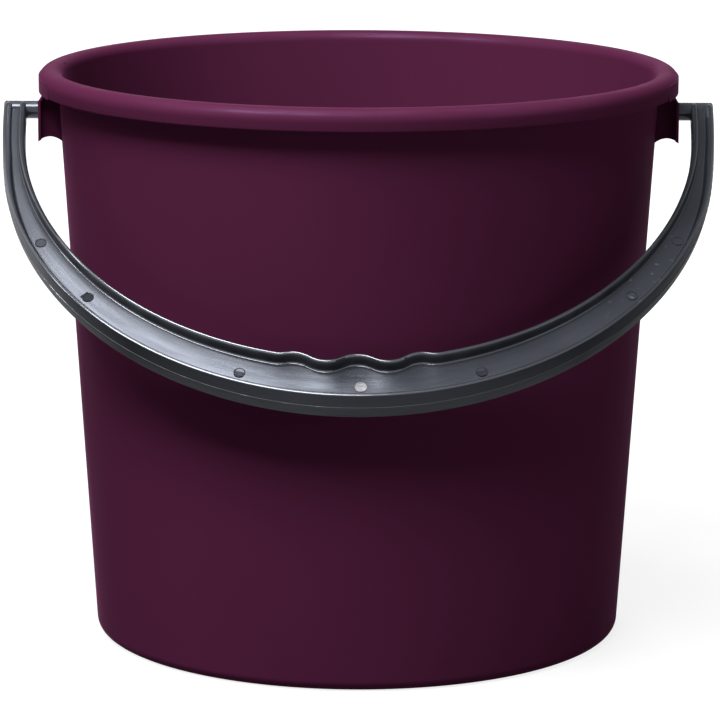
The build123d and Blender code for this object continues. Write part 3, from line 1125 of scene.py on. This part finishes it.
# %% Gloss and flow of the charcoal plastic
BLUE_CAST = (0.76, 0.83, 1.0, 1)
DULL_FROM = 75 * MM             # across the bucket, where one arm begins to lose its gloss
bow_place = charcoal.node_tree.nodes.new("ShaderNodeAttribute")
bow_place.attribute_name = "across"
gloss = multiply(
    charcoal, fade(charcoal, "X", 0.46, 0.12, DULL_FROM, ARM_IN),
    to_range(charcoal, bow_place.outputs["Fac"], low=0.25, high=1, start=0.13, end=MIDWAY),
    fade(charcoal, "Z", 1, 0.6, *ABOVE_MARK))
feed(gloss, charcoal_shader.inputs["Specular IOR Level"])
charcoal_shader.inputs["Specular Tint"].default_value = BLUE_CAST
streaks = bow_streaks(charcoal, scale=330, along=0.12)
feed(to_range(charcoal, streaks, low=0.15, high=0.26), charcoal_shader.inputs["Roughness"])
flow = bump(charcoal, streaks, distance=0.1 * MM, strength=0.5)
grit = noise(charcoal, scale=900, detail=2)
feed(bump(charcoal, grit, distance=0.02 * MM, strength=0.4, under=flow), charcoal_shader.inputs["Normal"])
print("material:", charcoal.name, len(charcoal.node_tree.nodes), "nodes")

# %% [markdown]
# The other finishes of the bail belong to some of its faces only. A finish could be painted over the whole
# bail by masks, but whole faces are simpler here, since each finish ends at an edge of the moulding.
# A face is picked by where its middle lies and how it is turned, both seen in the bail's own plane.

# %% Helper: give a finish to some faces
STEEP = 0.6                     # faces whose normals rise less than this are sides
FLAT = 0.97                     # and more than this, they are fronts and backs
MARK_REACH = 1.02 * MARK_R      # a mark's faces lie within this of its middle


def finish_faces(material, test):
    """Gives a finish to the faces that pass a test of their finish so far, middle, rise and direction."""
    bail.data.materials.append(material)
    own = len(bail.data.materials) - 1
    for face in bail.data.polygons:
        before = bail.data.materials[face.material_index]
        spot = in_plane(face.center)
        normal = unhang @ face.normal
        outward = normal.xy.dot(spot.xy - EYE) > 0
        if test(before, spot, abs(normal.z), outward):
            face.material_index = own
    print(material.name + ":", sum(face.material_index == own for face in bail.data.polygons), "faces")


def on_mark(spot, place):
    """True on the raised face of an ejector mark."""
    angle, distance, height, slope = place
    spoke = spot.xy - EYE
    middle = Vector((sin(angle), -cos(angle))) * distance
    web = height + slope * (spoke.length - distance)
    return (spoke - middle).length < MARK_REACH and spot.z > web + TOUCH


print("bail:", len(bail.data.polygons), "faces to finish")

# %% [markdown]
# The mould's faces were polished, but the sides of the flanges drag on it as the bail comes out, and are
# dull. So are the channel's side of the outer flange, up to its tip, and the two marks on one arm.
# Hands have brought back some gloss here and there along the bow, so the gloss is a ramp from arm to arm. The
# darker charcoal of these faces is painted shade.

# %% Dull sides of the flanges, with painted shade in their colour
# The darker colours below are painted shade on the flanges' sides and the arm's marks, which turn away from
# the lamps; their dullness is real.
DULL_SHADED_DARK = (0.0115, 0.0128, 0.0165)
DULL_SHADED_LIGHT = (0.0155, 0.017, 0.0215)
SIDE_GLOSS = [(0.02, 0.5), (0.12, 0.1), (0.2, 0.04), (0.42, 0.33), (0.6, 0.25), (0.8, 0.04)]
ON_ARM = 40                     # marks with a greater bearing, in degrees, are on an arm
DULL_SHADED_MARKS = [mark_place(degrees_round) for degrees_round in MARK_LEAN if degrees_round < -ON_ARM]
dull_shaded_charcoal, dull_shaded_shader = start_material("charcoal_dull_painted_shade")
feed(mottle(dull_shaded_charcoal, scale=30, dark=DULL_SHADED_DARK, light=DULL_SHADED_LIGHT), dull_shaded_shader.inputs["Base Color"])
scratches = bow_streaks(dull_shaded_charcoal, scale=700, along=0.1)
feed(to_range(dull_shaded_charcoal, scratches, low=0.4, high=0.55), dull_shaded_shader.inputs["Roughness"])
side_gloss = levels(dull_shaded_charcoal, fade(dull_shaded_charcoal, "X", 0, 1, -ARM_OUT, ARM_OUT), SIDE_GLOSS)
feed(side_gloss, dull_shaded_shader.inputs["Specular IOR Level"])
dull_shaded_shader.inputs["Specular Tint"].default_value = BLUE_CAST
rough_grain = noise(dull_shaded_charcoal, scale=1200, detail=2)
feed(bump(dull_shaded_charcoal, rough_grain, distance=0.03 * MM, strength=0.4), dull_shaded_shader.inputs["Normal"])


def is_dull_and_shaded(before, spot, rise, outward):
    """Sides of the flanges, the channel's side of the outer one up to its tip, and the dull marks."""
    in_channel = not outward and across(spot) > MIDWAY
    on_side = spot.y < -2 * PIN_R and rise < (FLAT if in_channel else STEEP)
    return on_side or any(on_mark(spot, place) for place in DULL_SHADED_MARKS)


finish_faces(dull_shaded_charcoal, is_dull_and_shaded)

# %% [markdown]
# The rounded tips of the flanges are what a hand touches, and they shine as if they had been waxed.
# A clear coat over the gloss gives that second, sharper glint. It fades towards one arm and up both arms,
# where no hand rubs. The pins, which turn in the ears, shine as well.

# %% Polished edges of the flanges
POLISH_DARK = (0.021, 0.0225, 0.028)
POLISH_LIGHT = (0.028, 0.03, 0.037)
POLISH_CAST = (0.8, 0.86, 1.0, 1)
POLISH_ACROSS = (-45 * MM, 110 * MM)                    # full on one side of the grip, none up the other arm
POLISH_UP = (PIVOT_Z - 30 * MM, PIVOT_Z - 8 * MM)
POLISH_ARM = 0.2                # what is left of it at the pivots
polished, polished_shader = start_material("charcoal_polished")
feed(mottle(polished, scale=30, dark=POLISH_DARK, light=POLISH_LIGHT), polished_shader.inputs["Base Color"])
wipes = bow_streaks(polished, scale=330, along=0.12)
feed(to_range(polished, wipes, low=0.12, high=0.2), polished_shader.inputs["Roughness"])
rubbed = multiply(
    polished, fade(polished, "X", 1, 0, *POLISH_ACROSS), fade(polished, "Z", 1, POLISH_ARM, *POLISH_UP))
shine = to_range(polished, rubbed, low=0.3, high=1, start=0, end=1)
feed(shine, polished_shader.inputs["Specular IOR Level"])
feed(rubbed, polished_shader.inputs["Coat Weight"])
polished_shader.inputs["Coat Roughness"].default_value = 0.12
polished_shader.inputs["Specular Tint"].default_value = POLISH_CAST


def is_polished(before, spot, rise, outward):
    """Rounded edges between sides and fronts, and the pins."""
    on_pin = spot.y > -PIN_R and abs(spot.x) < ARM_IN
    return before == charcoal and (STEEP < rise < FLAT or on_pin)


finish_faces(polished, is_polished)

# %% [markdown]
# The middle ejector mark is painted a pale grey: a painted highlight, where its flat disc catches the lamps.
# Its cloudy grey is a noise between two pale shades.

# %% Painted highlight on the middle ejector mark
# A pale grey painted on the middle mark, as a painted highlight.
HIGHLIGHT_MARK_DARK = (0.17, 0.175, 0.19)
HIGHLIGHT_MARK_LIGHT = (0.34, 0.345, 0.37)
HIGHLIGHT_MARK = mark_place(0)
mark_highlight, mark_highlight_shader = start_material("mark_painted_highlight")
highlight_cloud = mottle(mark_highlight, scale=500, dark=HIGHLIGHT_MARK_DARK, light=HIGHLIGHT_MARK_LIGHT, detail=3, stops=(0.35, 0.65))
feed(highlight_cloud, mark_highlight_shader.inputs["Base Color"])
feed(to_range(mark_highlight, noise(mark_highlight, scale=900, detail=2), low=0.3, high=0.45), mark_highlight_shader.inputs["Roughness"])


def is_painted_highlight(before, spot, rise, outward):
    """The raised face of the middle mark."""
    return on_mark(spot, HIGHLIGHT_MARK)


finish_faces(mark_highlight, is_painted_highlight)

# %% [markdown]
# The side of the inner flange that faces the web, in the channel of the bow, is painted paler: painted light,
# for the light that reaches the channel.
# It is a paler, rougher charcoal with almost no gloss, clouded on a larger scale than the plastic.

# %% Painted light in the channel of the bow
# A paler charcoal painted on the channel's side of the inner flange, as painted light.
CHANNEL_LIT_DARK = (0.022, 0.024, 0.03)
CHANNEL_LIT_LIGHT = (0.046, 0.049, 0.058)
CHANNEL_LIT_ACROSS = 0.3               # the painted light lies within this share of the bow's width
channel_light, channel_light_shader = start_material("charcoal_channel_painted_light")
feed(mottle(channel_light, scale=120, dark=CHANNEL_LIT_DARK, light=CHANNEL_LIT_LIGHT, detail=5), channel_light_shader.inputs["Base Color"])
channel_streaks = bow_streaks(channel_light, scale=700, along=0.1)
feed(to_range(channel_light, channel_streaks, low=0.5, high=0.65), channel_light_shader.inputs["Roughness"])
channel_light_shader.inputs["Specular IOR Level"].default_value = 0.12
channel_grain = noise(channel_light, scale=1200, detail=2)
feed(bump(channel_light, channel_grain, distance=0.03 * MM, strength=0.4), channel_light_shader.inputs["Normal"])


def is_channel_painted_light(before, spot, rise, outward):
    """The dull side of the inner flange that faces the web."""
    return before == dull_shaded_charcoal and outward and across(spot) < CHANNEL_LIT_ACROSS


finish_faces(channel_light, is_channel_painted_light)

# %% [markdown]
# The studio floor is a sheet of pale paper. To the camera and in reflections it should look white, as in
# the photo, yet it should throw little light back up at the bucket. A white sheet couldn't do both, so the
# floor will glow only for rays that come straight from the camera or from a gloss. Light Path tells which.

# %% Floor, and the rays that see it
FLOOR_SIZE = 8                  # metres
deselect()
bpy.ops.mesh.primitive_plane_add(size=FLOOR_SIZE)
floor = bpy.context.object
floor.name = "floor"


def seen_directly(lit):
    """One for rays that come from the camera, a gloss or a clear surface, else nought."""
    nodes = lit.node_tree.nodes
    path = nodes.new("ShaderNodeLightPath")
    total = path.outputs["Is Camera Ray"]
    for name in ("Is Glossy Ray", "Is Transmission Ray"):
        add = nodes.new("ShaderNodeMath")
        add.operation = "ADD"
        add.use_clamp = True
        feed(total, add.inputs[0])
        feed(path.outputs[name], add.inputs[1])
        total = add.outputs["Value"]
    return total


print("floor:", FLOOR_SIZE, "m wide")

# %% [markdown]
# The paper's own colour is a middle grey with a faint cloudiness, and it takes the bucket's shadow.
# The glow is added to it. It is a little weaker beside the bucket, where more of the lamps' light falls, than
# further out.

# %% Paper of the floor
PAPER_DARK = (0.19, 0.19, 0.19)
PAPER_LIGHT = (0.21, 0.21, 0.21)
GLOW = (0.82, 0.97)             # beside the bucket and further out
GLOW_AT = (0.25, 0.9)           # metres from its middle
paper, paper_shader = start_material("white_paper")
feed(mottle(paper, scale=40, dark=PAPER_DARK, light=PAPER_LIGHT, detail=3), paper_shader.inputs["Base Color"])
paper_shader.inputs["Roughness"].default_value = 0.9
paper_shader.inputs["Specular IOR Level"].default_value = 0.1
paper_shader.inputs["Emission Color"].default_value = (1, 1, 1, 1)
paper_place = paper.node_tree.nodes.new("ShaderNodeTexCoord")
away = paper.node_tree.nodes.new("ShaderNodeVectorMath")
away.operation = "LENGTH"
feed(paper_place.outputs["Object"], away.inputs[0])
paper_glow = multiply(
    paper, to_range(paper, away.outputs["Value"], *GLOW, *GLOW_AT), seen_directly(paper))
feed(paper_glow, paper_shader.inputs["Emission Strength"])
floor.data.materials.append(paper)
print("material:", paper.name)

# %% [markdown]
# The surround works the same way: white where the camera or a gloss sees it, and a faint light otherwise,
# so that the lamps alone shape the bucket and shadows stay deep.

# %% Surround
AMBIENT = 0.04
world = bpy.data.worlds.new("studio")
bpy.context.scene.world = world
world.use_nodes = True
sky = world.node_tree.nodes["Background"]
sky.inputs["Color"].default_value = (1, 1, 1, 1)
feed(to_range(world, seen_directly(world), AMBIENT, 1, start=0, end=1), sky.inputs["Strength"])
print("surround:", AMBIENT)

# %% [markdown]
# Soft boxes are broad lamps, which give the soft edges of shadows that the photo shows. The brightest stands
# high in front, to the left. The others are weaker or smaller: each lights one side or draws one reflection.
# A lamp's power grows with its face, so its glow, the brightness of that face, is what is set here.

# %% Soft boxes
def soft_box(name, place, target, width, length, glow):
    """An area lamp at a place, turned to a target; its glow is how bright its face looks."""
    data = bpy.data.lights.new(name, "AREA")
    data.shape = "RECTANGLE"
    data.size = width
    data.size_y = length
    data.energy = glow * pi * width * length
    lamp = bpy.data.objects.new(name, data)
    bpy.context.scene.collection.objects.link(lamp)
    lamp.location = place
    lamp.rotation_euler = (Vector(target) - Vector(place)).to_track_quat("-Z", "Y").to_euler()
    return lamp


MIDDLE = (0, 0, HEIGHT / 2)
UNDER_TOP = (-0.19, -0.065, 0)
lamps = [
    soft_box("key", (-0.608, -0.973, 1.763), MIDDLE, width=1.4, length=0.7, glow=20.2),
    soft_box("top", (-0.19, -0.065, 1.75), UNDER_TOP, width=0.36, length=0.57, glow=16.5),
    soft_box("fill", (1.55, -1.05, 0.35), MIDDLE, width=0.8, length=0.6, glow=1.7),
    soft_box("edge", (1.7, 0.5, 0.32), MIDDLE, width=0.6, length=0.6, glow=1.6),
    soft_box("back", (0, 2.2, 1.2), MIDDLE, width=1.4, length=0.9, glow=6),
    soft_box("strip", (-1.5, -0.35, 1.35), MIDDLE, width=0.12, length=0.8, glow=11),
]
print("lamps:", [lamp.name for lamp in lamps])

# %% [markdown]
# The camera stands where the photographer stood: well back with a long lens, a little above the rim, looking
# slightly down. Its place and angles were fitted to the ellipses of the rim and the foot in the photo.

# %% Camera
LENS = 197.6                    # millimetres, with a square sensor
SENSOR = 36
STAND = (0.001, -1.723, 0.4688)
PITCH = 0.2                     # radians down from level
ROLL = 0.0033
data = bpy.data.cameras.new("camera")
data.lens = LENS
data.sensor_width = SENSOR
data.sensor_height = SENSOR
camera = bpy.data.objects.new("camera", data)
bpy.context.scene.collection.objects.link(camera)
camera.matrix_world = (
    Matrix.Translation(STAND) @ Matrix.Rotation(pi / 2 - PITCH, 4, "X") @ Matrix.Rotation(ROLL, 4, "Z"))
bpy.context.scene.camera = camera
bpy.context.scene.view_settings.view_transform = "Standard"
print("camera:", LENS, "mm")
